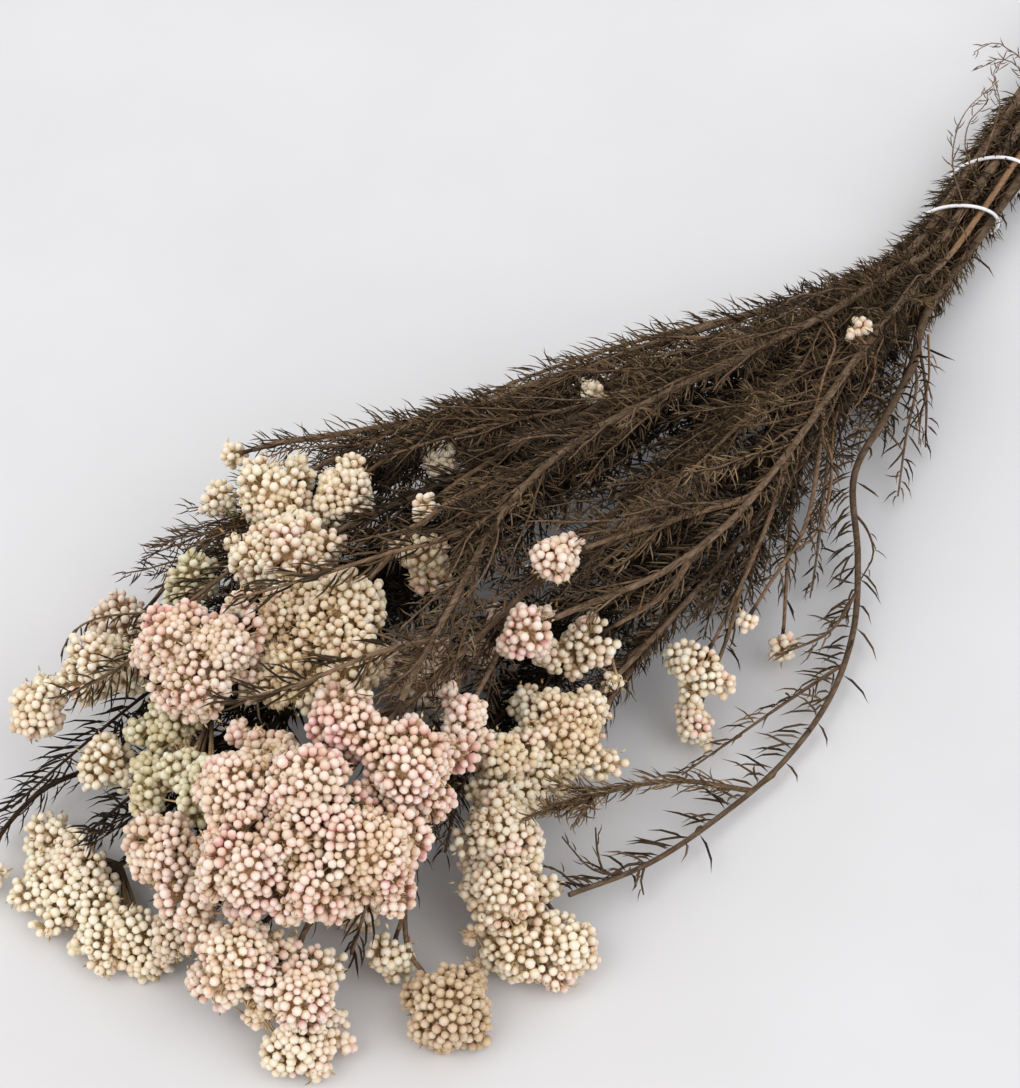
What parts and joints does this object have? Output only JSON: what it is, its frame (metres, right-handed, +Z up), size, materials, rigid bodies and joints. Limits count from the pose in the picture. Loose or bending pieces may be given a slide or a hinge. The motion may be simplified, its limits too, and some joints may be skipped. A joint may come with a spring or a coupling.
{
  "type": "preserved diosma bunch",
  "caption": "Tied bunch of preserved flowering stems, lying down: heads of small round buds in cream, pink and green on brown branches with needle leaves.",
  "frame": {"origin": "middle of the footprint, on the surface that the bunch lies on", "axes": "+X along the bunch towards the cut ends, +Z up from the surface"},
  "size_m": [0.4904, 0.1744, 0.0768],
  "materials": {
    "cream_buds": "matte",
    "pink_buds": "matte",
    "green_buds": "matte",
    "tan_buds": "matte",
    "bark": "matte",
    "tie": "satin"
  },
  "bodies": {
    "root": {"head_01": "cream_buds", "head_02": "cream_buds", "head_03": "cream_buds", "head_04": "cream_buds", "head_05": "green_buds", "head_06": "pink_buds", "head_07": "cream_buds", "head_08": "cream_buds", "head_09": "cream_buds", "head_10": "green_buds", "head_11": "cream_buds", "head_12": "pink_buds", "head_13": "pink_buds", "head_14": "cream_buds", "head_15": "tan_buds", "head_16": "cream_buds", "head_17": "pink_buds", "head_18": "pink_buds", "head_19": "pink_buds", "head_20": "cream_buds", "head_21": "cream_buds", "head_22": "cream_buds", "head_24": "tan_buds", "head_25": "cream_buds", "head_26": "cream_buds", "head_27": "cream_buds", "head_28": "cream_buds", "head_29": "cream_buds", "head_30": "cream_buds", "head_31": "pink_buds", "head_32": "pink_buds", "head_33": "cream_buds", "head_34": "cream_buds", "head_35": "cream_buds", "head_36": "cream_buds", "head_37": "cream_buds", "head_38": "cream_buds", "back_head_1": "cream_buds", "back_head_2": "tan_buds", "back_head_3": "cream_buds", "back_head_4": "pink_buds", "back_head_5": "tan_buds", "leafy_stem_01": "bark", "leafy_stem_02": "bark", "leafy_stem_03": "bark", "leafy_stem_04": "bark", "leafy_stem_05": "bark", "leafy_stem_06": "bark", "leafy_stem_07": "bark", "leafy_stem_08": "bark", "leafy_stem_09": "bark", "leafy_stem_10": "bark", "tie_1": "tie", "tie_2": "tie"}
  },
  "joints": []
}
